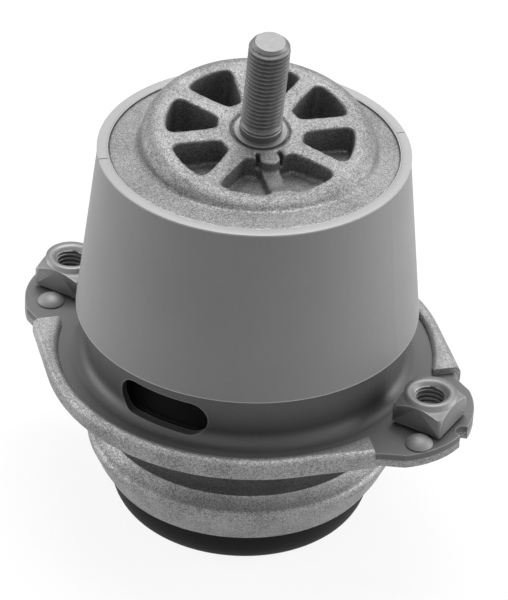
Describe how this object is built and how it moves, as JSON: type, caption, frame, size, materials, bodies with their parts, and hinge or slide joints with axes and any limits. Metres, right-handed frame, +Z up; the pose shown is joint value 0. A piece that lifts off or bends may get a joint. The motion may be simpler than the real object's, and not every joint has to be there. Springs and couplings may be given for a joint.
{
  "type": "engine mount",
  "caption": "Hydraulic rubber mount that carries an engine: a leaning threaded stud on a cast head, a conical heat shield, a drawn housing with two ears and weld nuts, and a folded bracket pot.",
  "frame": {"origin": "on the housing's axis at the flat underside of the bottom cap, which it stands on", "axes": "+Z up along the housing's axis, +X along the line of the two weld nuts, toward the ear with the notch; the stud leans 10.6 degrees toward +X -Y"},
  "size_m": [0.1492, 0.121, 0.1627],
  "materials": {
    "stud_steel": "rolled thread, oiled",
    "cast_alloy": "cast and shot-blasted",
    "shield_sheet": "smooth satin grey",
    "turned_steel": "turned",
    "rubber_black": "moulded natural rubber",
    "housing_sheet": "dark phosphated sheet steel, satin",
    "zinc_sheet": "galvanised, with a fine spangle",
    "nut_steel": "plain, welded at the corners",
    "rivet_steel": "plain",
    "die_cast_plate": "die cast",
    "cap_plastic": "moulded, black"
  },
  "bodies": {
    "root": {"threaded_stud": "stud_steel", "top_core": "cast_alloy", "heat_shield": "shield_sheet", "inner_core": "turned_steel", "rebound_plate": "turned_steel", "rebound_buffer": "rubber_black", "rubber_spring": "rubber_black", "spring_foot_ring": "turned_steel", "upper_housing": "housing_sheet", "bump_stop_ring": "rubber_black", "lower_bracket": "zinc_sheet", "channel_plate_upper": "die_cast_plate", "channel_plate_lower": "die_cast_plate", "decoupler_disc": "rubber_black", "diaphragm": "rubber_black", "diaphragm_ring": "turned_steel", "bottom_cap": "cap_plastic", "weld_nut_right": "nut_steel", "weld_nut_left": "nut_steel", "plate_rivet_right": "rivet_steel", "plate_rivet_left": "rivet_steel"}
  },
  "joints": []
}
